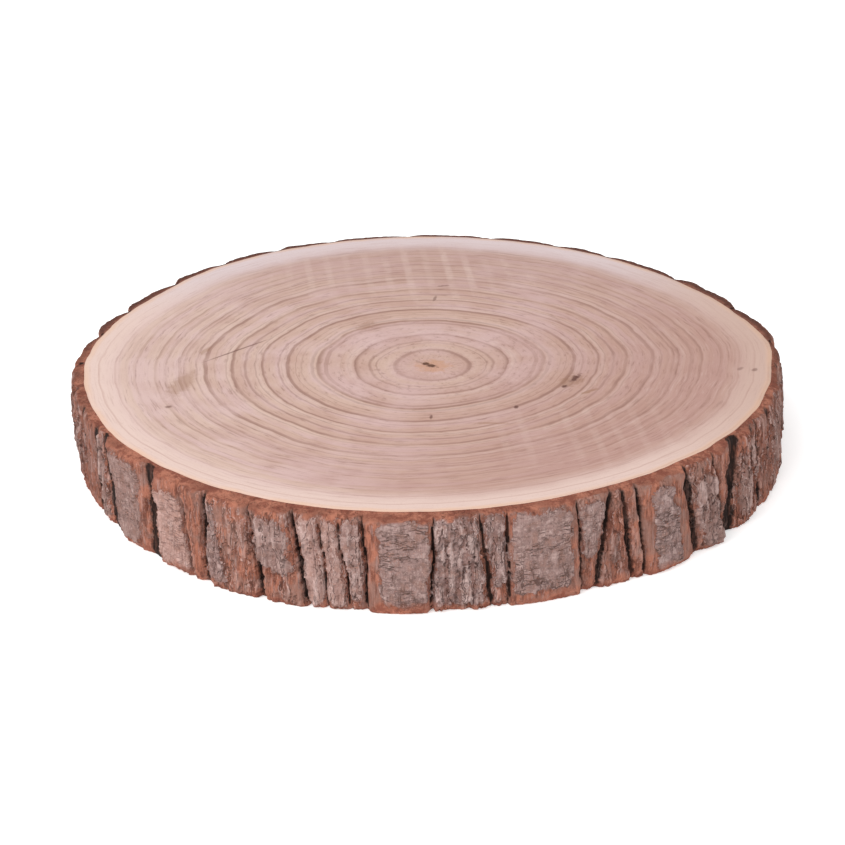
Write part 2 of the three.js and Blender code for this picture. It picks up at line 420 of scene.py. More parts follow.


# cream sapwood under the bark, with a painted highlight at the back and painted shade to the right, and a
# warmer line at its very edge
def sapwoodOver(tree, colour, place, age, rings):
    # painted highlight: the sapwood whiter and bluish at the back
    sap = mixColour(tree, marking(tree, place["Y"], wood["paintedHighlightSapBack"]), wood["cream"], wood["creamHighlightBack"])
    # painted shade: the sapwood darker to the right
    sap = tint(tree, sap, wood["creamShadeRight"], marking(tree, place["X"], wood["paintedShadeSapRight"]))
    sap = tint(tree, sap, wood["heartDeep"], marking(tree, rings["dashes"], wood["sapDashes"]))
    sap = tint(tree, sap, wood["heartDeep"], rings["lateLine"], remap(tree, place["Y"], *wood["sapLines"]))
    edge = strayed(tree, age, rings["fineBend"], wood["sapStray"])
    colour = mixColour(tree, marking(tree, edge, wood["sapEdge"]), colour, sap)
    breaks = remap(tree, rings["fineBend"], *wood["cambiumBreaks"])
    return tint(tree, colour, wood["cambium"], marking(tree, age, wood["cambiumEdge"]), breaks)


# saw marks: pale soft stripes, front to back, in patches
def sawMask(tree, coords, place):
    across = calculate(tree, "MULTIPLY_ADD", place["Y"], wood["sawSlant"], place["X"])
    drift = cloud(tree, coords, *wood["sawDrift"])
    across = calculate(tree, "MULTIPLY_ADD", drift, wood["sawStray"], across)
    wave = calculate(tree, "SINE", product(tree, across, fullTurn / wood["sawStep"]))
    luck = luckOf(tree, calculate(tree, "DIVIDE", across, wood["sawStep"]))
    zones = 0.0
    for middle, length, width, weight in wood["sawZones"]:
        zone = markMask(tree, coords, middle, 0, length, width, wood["sawRagged"])
        zones = calculate(tree, "MULTIPLY_ADD", zone, weight, zones)
    thin = remap(tree, cloud(tree, coords, *wood["sawBreaks"]), *wood["sawThin"])
    strength = remap(tree, luck, 0.0, 1.0, wood["sawFaintest"], 1.0, "LINEAR")
    return product(tree, remap(tree, wave, 0.0, 1.0), zones, strength, thin)


def woodMaterial():
    material, tree, surface = newMaterial("end grain")
    coords = objectMillimetres(tree)
    place = addNode(tree, "ShaderNodeSeparateXYZ", [coords]).outputs
    age = readAttribute(tree, "age")
    rings = ringMasks(tree, coords, place, age)
    saw = sawMask(tree, coords, place)
    pores = marking(tree, cloud(tree, coords, *wood["pores"]), wood["openPores"])
    colour = heartColour(tree, coords, place, rings)
    colour = sapwoodOver(tree, colour, place, age, rings)
    colour = tint(tree, colour, wood["pale"], saw, wood["sawWeight"])
    colour = tint(tree, colour, wood["heartDeep"], pores, wood["poreWeight"])
    for start, marks in ((pithOnTop, wood["pithMarks"]), ((0, 0), wood["marks"])):
        for (x, y), turn, length, width, ragged, weight, over in marks:
            mask = markMask(tree, coords, (start[0] + x, start[1] + y), turn, length, width, ragged)
            colour = tint(tree, colour, wood[over], mask, weight)

    height = calculate(tree, "MULTIPLY_ADD", saw, wood["sawHeight"], 0.0)
    height = calculate(tree, "MULTIPLY_ADD", pores, -wood["poreDepth"], height)
    roughness = remap(tree, pores, 0.0, 1.0, wood["roughness"], wood["poreRoughness"], "LINEAR")
    tree.links.new(colour, surface.inputs["Base Color"])
    tree.links.new(roughness, surface.inputs["Roughness"])
    surface.inputs["Specular IOR Level"].default_value = wood["specular"]
    addBump(tree, surface, height, *wood["bump"])
    return material


# the year a place grew in, from its share of the way from the pith to the bark
def yearAt(age):
    rings = [0.0] + wood["rings"]
    k = min(bisect.bisect_right(rings, age), len(rings) - 1)
    return k - 1 + (age - rings[k - 1]) / (rings[k] - rings[k - 1])


def makeWood():
    radius, top, edge = cut["woodRadius"], cut["thickness"], wood["edge"]
    loops = wood["pithLoops"] + wood["rings"][:-1] + [wood["edgeLoop"], 1.0 - edge / radius]
    underside = [(share, 0.0) for share in loops]
    topFace = [(share, top) for share in reversed(loops)]
    profile = underside + [(1.0, edge), (1.0, top - edge)] + topFace
    bm = bmesh.new()
    points = [bm.verts.new((share * radius, 0.0, height)) for share, height in profile]
    line = [bm.edges.new(pair) for pair in zip(points, points[1:])]
    bmesh.ops.spin(bm, geom=points + line, cent=(0, 0, 0), axis=(0, 0, 1), angle=fullTurn,
                   steps=wood["steps"], use_merge=True)
    bmesh.ops.remove_doubles(bm, verts=bm.verts[:], dist=mergeDistance)
    bmesh.ops.recalc_face_normals(bm, faces=bm.faces[:])
    ages, years = [], []
    for vert in bm.verts:  # the round disc takes the trunk's outline, pith and lean
        age = min(1.0, math.hypot(vert.co.x, vert.co.y) / radius)
        angle = math.atan2(vert.co.y, vert.co.x)
        outward = onCircle(age * woodRadiusAt(angle), angle, 0.0)
        drift = Vector((*cut["pith"], 0.0)) * (1.0 - age)
        vert.co = sliceMiddle(vert.co.z) + outward + drift
        ages.append(age)
        years.append(yearAt(age))
    values = {"age": ages, "year": years}
    finishPiece(bm, "end_grain_disc", "root", "wood", woodMaterial(), values)


# bark: the ring of plates and fissures
bark = {
    "steps": 1260,
    "faceRows": 66,
    "rimRows": 7,
    "footLoops": [0.0, 0.4, 0.75],  # loops of the underside, as shares of the bark's depth
    "least": 0.9,  # bark is nowhere thinner than this
    "overlap": 0.4,  # the inner wall runs this far under the wood's edge
    # a fissure of the front: bark left under it, how much lower than its crown a plate lies beside it
    # and over what reach, the share of its depth that it keeps at the rim and the foot, its unevenness
    "plain": {"floor": 2.0, "rounding": 0.8, "reach": 2.6, "reachBefore": 2.6, "ends": 0.5, "uneven": 0.7},
    "openEnds": {0: 0.9, 4: 0.62, 5: 0.62, 22: 0.9},  # those that cut through more, by place in the list
    "runOut": 0.2,
    # foot and rim in degrees, half width at both, crown of the plate that follows, then that plate's
    # grey scale: low and high end (none where these cross), margins left and right, tone, flakiness
    "front": [
        (-177, -177, 1.4, 1.6, 5.8, 0.25, 0.75, 2.0, 2.0, 0.97, 0.7),
        (-168, -167, 1.8, 1.8, 5.2, 0.30, 0.70, 1.5, 2.0, 1.0, 0.8),
        (-160, -159.5, 1.6, 1.8, 4.8, 0.60, 0.40, 3.0, 4.0, 0.95, 0.4),
        (-152.5, -152, 2.4, 2.4, 4.2, 0.02, 0.98, 0.4, 0.6, 0.7, 0.9),
        (-146.0, -147.9, 4.8, 5.6, 5.2, 0.06, 0.94, 1.8, 4.0, 0.6, 0.3),
        (-134.6, -134.4, 3.6, 3.4, 5.7, 0.03, 0.84, 0.8, 0.6, 0.0, 0.3),
        (-126, -127.8, 0.9, 1.0, 7.0, 0.60, 0.40, 1.0, 1.0, 0.5, 0.35),
        (-123.4, -122.5, 2.0, 1.4, 8.0, 0.08, 0.98, 0.3, 13.0, 0.2, 0.55),
        (-114, -115.6, 1.1, 0.6, 8.0, 0.34, 0.92, 0.6, 2.4, 0.5, 0.6),
        (-107.2, -108.9, 0.4, 0.6, 6.4, 0.04, 0.98, 0.2, 0.3, 0.05, 0.6),
        (-104.4, -105.2, 0.1, 0.1, 6.0, 0.03, 0.98, 0.1, 0.2, 0.05, 0.6),
        (-101.2, -102.4, 0.2, 0.1, 5.8, 0.10, 0.98, 0.2, 0.5, 0.1, 0.6),
        (-98.9, -98.9, 0.5, 0.7, 7.3, 0.07, 1.02, 4.6, 0.6, 0.3, 0.05),
        (-90, -88.9, 0.4, 0.4, 5.2, 0.06, 1.00, 0.3, 0.8, 0.2, 0.95),
        (-81.3, -82.2, 0.9, 0.7, 4.6, 0.22, 1.00, 0.3, 0.3, 0.2, 0.7),
        (-78.6, -78.4, 0.4, 0.4, 6.2, 0.12, 0.98, 1.0, 2.8, 0.35, 0.1),
        (-67, -67.5, 0.6, 0.7, 4.8, 0.32, 0.95, 0.5, 0.8, 0.4, 0.35),
        (-64.6, -61.6, 1.4, 0.9, 5.8, 0.20, 0.65, 3.0, 4.0, 0.9, 0.5),
        (-58.6, -59.6, 1.3, 1.1, 6.4, 0.60, 0.40, 1.0, 1.0, 0.5, 0.35),
        (-56.4, -57.2, 0.9, 0.8, 7.0, 0.04, 0.93, 4.0, 6.5, 0.15, 0.05),
        (-45.2, -47.4, 3.2, 2.6, 6.4, 0.03, 0.82, 0.6, 1.0, 0.6, 0.8),
        (-38.4, -40.6, 1.8, 1.2, 6.0, 0.60, 0.40, 1.0, 1.0, 0.5, 0.35),
        (-37.0, -34.3, 4.6, 4.8, 5.6, 0.12, 0.80, 0.8, 4.0, 0.85, 0.8),
        (-29, -28.6, 1.8, 1.8, 5.0, 0.30, 0.65, 0.8, 0.8, 0.9, 0.7),
        (-25.8, -26.4, 2.0, 2.0, 4.8, 0.60, 0.40, 1.0, 1.0, 0.9, 0.6),
        (-20.5, -21, 2.2, 2.2, 4.6, 0.25, 0.80, 3.0, 4.0, 0.9, 0.7),
        (-11, -10.5, 1.5, 1.5, 3.4, 0.60, 0.40, 1.0, 1.0, 0.9, 0.5),
        (-3, -2.5, 1.2, 1.2, 3.8, 0.15, 0.85, 2.0, 3.0, 0.9, 0.6),
    ],
    # the back half: where its deep fissures meet the rim, and the crown of the humped plate after each,
    # which a narrow fissure splits once more below the rim
    "back": [(6.2, 6.6), (22.2, 7.6), (37.8, 6.0), (54.5, 6.0), (64.8, 6.0), (77, 5.0), (94, 5.2),
             (108, 6.0), (119, 6.6), (130.5, 6.0), (144, 6.0), (158.5, 6.3), (170.5, 5.4)],
    "backEnd": 183.0,
    "backStray": 2.0,
    "backSplit": 0.12,  # how far from the middle of a plate its split may lie
    "backWidths": 0.3,
    "backDraws": {"narrow": 20, "halfFoot": 40, "halfRim": 80, "split": 120},  # where their draws begin
    "deep": {"half": 1.7, "floor": 1.0, "rounding": 3.0, "reach": 14.0, "reachBefore": 7.0, "ends": 1.0,
             "uneven": 1.3},
    "narrow": {"half": 0.8, "floor": 2.0, "rounding": 0.4, "reach": 3.0, "reachBefore": 3.0, "ends": 0.1,
               "uneven": 1.3},
    # the back's grey scales: each value's middle, how far it is drawn off it, where its draws begin
    "backScales": {
        "scaleLow": (0.14, 0.1, 200),
        "scaleHigh": (0.8, 0.1, 240),
        "marginLeft": (2.4, 2.0, 280),
        "marginRight": (2.6, 2.2, 320),
        "tone": (0.5, 0.35, 360),
        "flaky": (0.45, 0.4, 400),
    },
    # an uneven fissure: degrees it wanders, bends over the height, then the step and layer of its noise
    "wander": [(0.6, 3.1, 7.31, 0.5), (0.25, 11.0, 3.77, 9.5)],
    "widen": (5.3, 5.13, 4.5),
    "leastWidth": 0.2,
    # unevenness of the face: waves to the millimetre, for fibres across and along
    "broadWaves": 0.07,
    "coarseWaves": 0.22,
    "fineWaves": 0.75,
    "fibreWaves": (0.9, 0.12),
    "chipWaves": 0.35,
    "driftWaves": 0.1,
    "humps": 0.5,
    "fibreRise": 0.45,
    "fineRise": 0.15,
    "sawnCalm": (0.7, 0.75),  # from this share of the height on the face calms, by this much at the rim
    "flakeSize": (1.7, 11.0),
    "flakeWarp": 0.6,
    "flakeRise": {"own": 0.7, "hang": 0.7, "gap": 0.6},
    "flakeGap": (0.02, 0.2),
    "flakeLeast": 0.12,
    "flakeMost": 0.9,  # added to the least where the bark is all flakes
    "gapLeast": 0.15,
    "scaleStep": 0.9,  # the grey scales stand this far off the rust bark
    "scaleBlend": 0.35,
    "scaleCorner": 4.0,
    "scaleRagged": (1.6, 0.8, 1.3),  # by coarse, fine and fibre unevenness
    "floorRise": 0.5,
    "wallRagged": (0.8, 0.7),  # by fine and fibre unevenness
    "wallCalm": (0.3, 0.5),  # narrow fissures are less ragged: least, and more to each millimetre
    "wallSlope": (0.7, 0.3),  # a wall starts this share of the half width inside, and ends this far outside
    # painted shade in the fissures, by how open they are
    "shadowByOpenness": (0.25, 0.85),
    # sawn rim and foot
    "edgeShare": 0.999,  # past this share of the height or the depth a point is on the edge
    "rimFallFrom": 0.5,  # the rim's outward fall dies out below this share of the height
    "rimSlope": 0.15,
    "rimSlopeStray": 0.08,
    "rimChips": 0.4,
    "rimRounding": 1.0,
    "rimWear": 0.25,
    "rimHeight": 2.0,
    "rimSink": 0.12,
    "rimBand": (1.0, 0.1, 1.6, 1.6),  # starts and is full this far under the rim, strays by chip and drift
    # the painted shade of a fissure fades out across the rim
    "rimFissureShadow": (0.35, 0.9),
    "footRounding": 0.9,
    "footHeight": 3.2,
    "footFlare": 0.9,  # the bark is this much deeper at the foot than at the rim
    "footBand": (0.4, 3.4, 1.5, 5.0, 0.85),  # full and ends at these heights, strays, and how strong it is
    "rust": paint(170, 109, 88),
    "rustDeep": paint(112, 68, 56),
    "rustPale": paint(190, 134, 112),
    "grey": paint(158, 132, 128),
    "greyDeep": paint(116, 94, 90),
    "greyPale": paint(208, 181, 175),
    "brown": paint(147, 112, 101),
    "rosy": paint(206, 158, 142),
    # painted shade: near black for the shadowed inside of the fissures
    "fissure": paint(30, 20, 17),
    # painted shade for the checks, the seams and the gaps between flakes
    "seamShade": paint(66, 42, 36),
    "rimCut": paint(134, 78, 63),
    "rimPale": paint(180, 117, 95),
    # painted shade for the rim round the back
    "rimShadeBack": paint(92, 56, 47),
    # clouds: stretch across and along, waves to the millimetre, finer layers, their strength
    "clouds": {
        "fibre": (1.0, 0.2, 0.6, 4.0, 0.6),
        "grain": (1.0, 1.0, 1.2, 4.0, 0.65),
        "blotch": (1.0, 1.0, 0.11, 3.0, 0.55),
        "layers": (0.8, 0.6, 0.5, 5.0, 0.7),
        "streaks": (1.0, 0.1, 0.9, 3.0, 0.6),
        "strands": (1.0, 0.09, 0.42, 1.0, 0.5),
        "mottle": (1.0, 1.0, 0.27, 3.0, 0.6),
        "levelChecks": (0.16, 1.0, 0.62, 2.0, 0.6),
        "erectChecks": (1.0, 0.16, 0.3, 2.0, 0.6),
        "rimGrain": (1.0, 1.0, 0.22, 5.0, 0.7),
    },
    "bend": (0.16, 3.0),
    "strandBend": 5.0,
    "checkBend": 3.0,
    # markings: start, full, weight
    "rustFibre": (0.36, 0.6, 1.0),
    "rustGrain": (0.53, 0.7, 0.6),
    "brownBlotch": (0.45, 0.62, 0.75),
    "darkStreaks": (0.55, 0.68, 0.7),
    "greyStreaks": (0.43, 0.32, 0.5),
    "greyLayers": (0.36, 0.6, 1.0),
    "brownMottle": (0.5, 0.66, 0.7),
    "paleMottle": (0.46, 0.34, 0.5),
    "paleGrain": (0.54, 0.68, 0.55),
    "brownTone": 0.8,
    "specks": (0.42, 0.3, 0.7),
    "speckPatches": (0.4, 0.6, 1.0),
    "rosyTone": (0.15, 0.0, 0.4),
    "deepTone": (0.8, 1.0, 0.5),
    "greyStray": {"grain": 2.6, "fibre": 3.2, "streaks": 3.0},
    "greyEdge": (-0.15, 0.3, 1.0),
    # painted shadow along the step at a scale's edge
    "stepShadow": ((-0.5, 0.05), (0.5, 0.1)),
    "stepShadowWeight": 0.5,
    "looseStrands": (0.05, 0.8, 0.05, 1.0),
    # painted shade in the strand seams and a painted highlight on their lips
    "seamLine": (0.028, 0.008),
    "seamBreaks": (0.36, 0.56, 1.0),
    "seamWeight": 0.75,
    "lipBand": ((0.52, 0.545), (0.6, 0.555)),
    "lipBreaks": (0.4, 0.6, 0.6),
    "levelLine": (0.04, 0.01),
    "erectLine": (0.025, 0.006),
    "erectLow": (26.0, 12.0, 1.0),
    "checkPatches": (0.4, 0.6, 0.2, 1.0),
    "checkOnFlakes": (0.6, 0.1, 0.25, 1.0),
    "checkShadeWeight": 0.72,
    # painted highlights and painted shade on the flakes, and painted shade in their gaps
    "flakeHighlights": (0.15, 0.95, 0.6),
    "flakeHighlightFibre": (0.35, 0.6, 1.0),
    "flakeShade": (-0.2, -0.95, 0.4),
    "gapStray": 1.2,
    "gapShade": (0.4, 1.0, 0.5),
    "rimGrainPale": (0.41, 0.59, 1.0),
    "rimBlotch": (0.5, 0.64, 0.5),
    "rimStreaks": (0.56, 0.68, 0.6),
    # painted shade on the rim round the back, stronger outwards
    "rimShadeToBack": (-50.0, 40.0, 1.0),
    "rimShadeOutwards": (0.1, 0.7, 0.35, 0.9),
    # painted shade in the fissures: how far its edge strays, where it is full, and how it follows the fibres
    "fissureShadowStray": 0.6,
    "fissureShadowMark": (0.22, 0.68, 1.0),
    "fissureShadowFibre": (0.62, 0.48, 0.74, 0.97),
    "roughness": 0.92,
    "specular": 0.2,
    "layerHeight": 0.35,
    "grainHeight": 0.5,
    "checkDepth": 0.5,
    "seamDepth": 0.9,
    "bump": (0.8, 0.0009),  # strength, metres
}
fissureFields = ("foot", "rim", "halfFoot", "halfRim", "crown", "scaleLow", "scaleHigh",
                 "marginLeft", "marginRight", "tone", "flaky")


def frontFissures():
    rows = []
    for k, row in enumerate(bark["front"]):
        fissure = {**bark["plain"], **dict(zip(fissureFields, row))}
        fissure["ends"] = bark["openEnds"].get(k, fissure["ends"])
        rows.append(fissure)
    return rows


def backFissures():
    rows = []
    draws = bark["backDraws"]
    ends = [at for at, crown in bark["back"][1:]] + [bark["backEnd"]]
    for k, (at, crown) in enumerate(bark["back"]):
        middle = blendBetween(at, ends[k], 0.5 + bark["backSplit"] * draw(k + draws["split"]))
        for kind, rim, n in (("deep", at, k), ("narrow", middle, k + draws["narrow"])):
            fissure = {**bark[kind], "rim": rim, "crown": crown}
            fissure["foot"] = rim + bark["backStray"] * draw(n)
            for name in ("halfFoot", "halfRim"):
                fissure[name] = fissure["half"] * (1 + bark["backWidths"] * draw(n + draws[name]))
            for name, (usual, spread, firstDraw) in bark["backScales"].items():
                fissure[name] = usual + spread * draw(n + firstDraw)
            rows.append(fissure)
    return rows


fissures = frontFissures() + backFissures()
arcLength = math.radians(1.0) * cut["woodRadius"]  # millimetres of bark to one degree
rowsOfFissures = {}


# where every fissure stands at one height, with its half width there
def fissuresAtShare(share):
    key = round(share, 4)
    if key not in rowsOfFissures:
        middles, halves = [], []
        bends, step, layer = bark["widen"]
        for k, fissure in enumerate(fissures):
            wander = sum(degrees * noise.noise((k * wanderStep, share * wanderBends, wanderLayer))
                         for degrees, wanderBends, wanderStep, wanderLayer in bark["wander"])
            widen = 1.0 + fissure["uneven"] * noise.noise((k * step, share * bends, layer))
            half = blendBetween(fissure["halfFoot"], fissure["halfRim"], share)
            middle = blendBetween(fissure["foot"], fissure["rim"], share)
            middles.append(middle + fissure["uneven"] * wander)
            halves.append(half * max(bark["leastWidth"], widen))
        rowsOfFissures[key] = middles, halves
    return rowsOfFissures[key]


# the fissures left and right of a place, how far off their edges are, and the nearer one with its half width
def fissuresBeside(angle, share):
    middles, halves = fissuresAtShare(share)
    if angle < middles[0]:
        angle += 360.0
    k = bisect.bisect_right(middles, angle) - 1
    following = (k + 1) % len(middles)
    nextMiddle = middles[following] + (360.0 if following == 0 else 0.0)
    fromLeft = (angle - middles[k]) * arcLength - halves[k]
    fromRight = (nextMiddle - angle) * arcLength - halves[following]
    near = k if fromLeft < fromRight else following
    return fissures[k], fissures[following], fromLeft, fromRight, fissures[near], halves[near]


# one flake of loose bark: how far it stands out, the gap round it, where shade is painted, and its own draw,
# which also sets its painted highlight or shade
def flakeAt(place):
    wide, tall = bark["flakeSize"]
    rise = bark["flakeRise"]
    spread = Vector((place.x / wide, place.y / wide, place.z / tall))
    reach, seeds = noise.voronoi(spread)
    shade = draw(round(seeds[0].x * 7.1 + seeds[0].y * 3.3 + seeds[0].z * 5.7, 2))  # one draw for each seed
    hang = seeds[0].z - spread.z
    gap = 1.0 - smooth(*bark["flakeGap"], reach[1] - reach[0])
    return rise["own"] * shade + rise["hang"] * hang - rise["gap"] * gap, gap, shade


# how much lower a plate lies at some distance from the fissure beside it
def sag(rounding, reach, distance):
    share = min(1.0, max(0.0, distance / reach))
    return rounding * (1.0 - share) ** 2


# rounded box: how far inside it a place lies, from the distance to its sides and to its ends
def insideBox(sides, ends, corner):
    if sides > corner or ends > corner:
        return min(sides, ends)
    return corner - math.hypot(corner - sides, corner - ends)


# the bark's depth outside the wood, at an angle in degrees and a share of the height, and what colours it
def barkRelief(angle, share):
    left, right, fromLeft, fromRight, near, half = fissuresBeside(angle, share)
    top = cut["thickness"]
    place = onCircle(cut["woodRadius"], math.radians(angle), share * top)
    broad = noise.noise(place * bark["broadWaves"])
    coarse = noise.noise(place * bark["coarseWaves"])
    fine = noise.noise(place * bark["fineWaves"])
    acrossFibre, alongFibre = bark["fibreWaves"]
    fibre = noise.noise((place.x * acrossFibre, place.y * acrossFibre, place.z * alongFibre))
    loose, gap, shade = flakeAt(place + Vector((fine, coarse, fibre)) * bark["flakeWarp"])
    tone, flaky = left["tone"], left["flaky"]

    # a plate, humped between its fissures, with its grey scale and flakes
    sides = min(fromLeft - left["marginLeft"], fromRight - left["marginRight"])
    ends = min(share - left["scaleLow"], left["scaleHigh"] - share) * top
    byCoarse, byFine, byFibre = bark["scaleRagged"]
    scale = insideBox(sides, ends, bark["scaleCorner"]) + byCoarse * coarse + byFine * fine + byFibre * fibre
    calmFrom, calm = bark["sawnCalm"]
    settled = 1.0 - calm * smooth(calmFrom, 1.0, share)  # the sawn edge is smoother than the face
    plate = left["crown"] + bark["humps"] * broad
    plate -= sag(left["rounding"], left["reach"], fromLeft)
    plate -= sag(right["rounding"], right["reachBefore"], fromRight)
    plate += bark["scaleStep"] * (smooth(-bark["scaleBlend"], bark["scaleBlend"], scale) - 0.5)
    flakes = (bark["flakeLeast"] + bark["flakeMost"] * flaky) * loose
    plate += (flakes + bark["fibreRise"] * fibre + bark["fineRise"] * fine) * settled

    # a fissure is deepest at half height and runs out towards the rim and the foot
    openness = blendBetween(near["ends"], 1.0, min(1.0, min(share, 1.0 - share) / bark["runOut"]))
    floor = blendBetween(left["crown"] - near["rounding"], near["floor"], openness)
    floor += bark["floorRise"] * max(0.0, coarse)
    byFine, byFibre = bark["wallRagged"]
    calmLeast, calmMore = bark["wallCalm"]
    rough = (byFine * fine + byFibre * fibre) * settled * min(1.0, calmLeast + calmMore * half)
    wallInside, wallOutside = bark["wallSlope"]
    wall = smooth(-wallInside * half, wallOutside, min(fromLeft, fromRight) + rough)
    depth = min(plate, floor) + max(0.0, plate - floor) * wall
    # painted shade inside the fissure, fuller where it is open
    fissureShadow = (1.0 - wall) * smooth(*bark["shadowByOpenness"], openness)
    gap *= bark["gapLeast"] + (1.0 - bark["gapLeast"]) * flaky
    return depth, {"fissureShadow": fissureShadow, "scale": scale, "tone": tone, "flaky": flaky, "gap": gap, "shade": shade}


# where a point of the bark lies, from its angle, height and share of the way out, and what colours it
def barkPoint(angle, height, across):
    radius, top = cut["woodRadius"], cut["thickness"]
    share = height / top
    depth, values = barkRelief(math.degrees(angle), share)
    around = onCircle(radius, angle, height)
    chip = noise.noise(around * bark["chipWaves"])
    drift = noise.noise(around * bark["driftWaves"])
    onRim = share > bark["edgeShare"] and across < bark["edgeShare"]
    foot = bark["footRounding"] * (1.0 - smooth(0.0, bark["footHeight"], height))
    foot -= bark["footFlare"] * (1.0 - share) ** 2
    worn = bark["rimRounding"] * smooth(top - bark["rimHeight"], top, height) ** 2
    outer = max(bark["least"], depth - foot - worn * (1.0 + bark["rimWear"] * chip))
    outside = blendBetween(-bark["overlap"], outer, across)
    fall = (bark["rimSlope"] + bark["rimSlopeStray"] * drift) * outer + bark["rimChips"] * max(0.0, chip)
    lowered = fall * smooth(top * bark["rimFallFrom"], top, height) * across
    if onRim:
        lowered += bark["rimSink"]
    reach = woodRadiusAt(angle) + outside

    starts, full, byChip, byDrift = bark["rimBand"]
    rimBand = 1.0 if onRim else smooth(top - starts, top - full, height + byChip * chip + byDrift * drift)
    full, stops, byChip, byDrift, strength = bark["footBand"]
    footBand = strength * (1.0 - smooth(full, stops, height + byChip * chip + byDrift * drift))
    if onRim:
        values["fissureShadow"] *= smooth(*bark["rimFissureShadow"], across)
    values["sawn"] = max(rimBand, footBand)
    values["across"] = across
    return sliceMiddle(height) + onCircle(reach, angle, -lowered), values


def barkCloud(tree, coords, name):
    across, along, *look = bark["clouds"][name]
    return cloud(tree, vectorWork(tree, "MULTIPLY", coords, (across, across, along)), *look)


# rust-coloured bark under the scales
def rustColour(tree, fibre, grain, blotch, streaks):
    colour = mixColour(tree, marking(tree, fibre, bark["rustFibre"]), bark["rustDeep"], bark["rust"])
    colour = tint(tree, colour, bark["rustPale"], marking(tree, grain, bark["rustGrain"]))
    colour = tint(tree, colour, bark["brown"], marking(tree, blotch, bark["brownBlotch"]))
    colour = tint(tree, colour, bark["rustDeep"], marking(tree, streaks, bark["darkStreaks"]))
    return tint(tree, colour, bark["grey"], marking(tree, streaks, bark["greyStreaks"]))


# grey scales with rust showing through in specks
def scaleColour(tree, layers, mottle, grain, blotch, tone):
    colour = mixColour(tree, marking(tree, layers, bark["greyLayers"]), bark["greyDeep"], bark["grey"])
    colour = tint(tree, colour, bark["brown"], marking(tree, mottle, bark["brownMottle"]))
    colour = tint(tree, colour, bark["greyPale"], marking(tree, mottle, bark["paleMottle"]))
    colour = tint(tree, colour, bark["greyPale"], marking(tree, grain, bark["paleGrain"]))
    colour = tint(tree, colour, bark["brown"], tone, bark["brownTone"])
    colour = tint(tree, colour, bark["rust"], marking(tree, grain, bark["specks"]),
                  marking(tree, blotch, bark["speckPatches"]))
    return tint(tree, colour, bark["rosy"], marking(tree, tone, bark["rosyTone"], "LINEAR"))


# sawn rim and foot, with painted shade round the back
def rimColour(tree, place, across, rimGrain, blotch, streaks):
    colour = mixColour(tree, marking(tree, rimGrain, bark["rimGrainPale"]), bark["rimCut"], bark["rimPale"])
    colour = tint(tree, colour, bark["rustDeep"], marking(tree, blotch, bark["rimBlotch"]))
    colour = tint(tree, colour, bark["rustDeep"], marking(tree, streaks, bark["rimStreaks"]))
    # painted shade: the rim darker round the back and towards its outer edge, where it falls away into shade
    return tint(tree, colour, bark["rimShadeBack"], marking(tree, place["Y"], bark["rimShadeToBack"]),
                remap(tree, across, *bark["rimShadeOutwards"]))


# fine checks across the flat scales, mostly level, with some upright ones low down, painted dark as shade in
# their creases
def checkMask(tree, bent, place, blotch, flaky, greyMask):
    level = crease(tree, barkCloud(tree, bent, "levelChecks"), bark["levelLine"])
    erect = crease(tree, barkCloud(tree, bent, "erectChecks"), bark["erectLine"])
    erect = product(tree, erect, marking(tree, place["Z"], bark["erectLow"]))
    return product(tree, calculate(tree, "MAXIMUM", level, erect), greyMask,
                   remap(tree, blotch, *bark["checkPatches"]), remap(tree, flaky, *bark["checkOnFlakes"]))


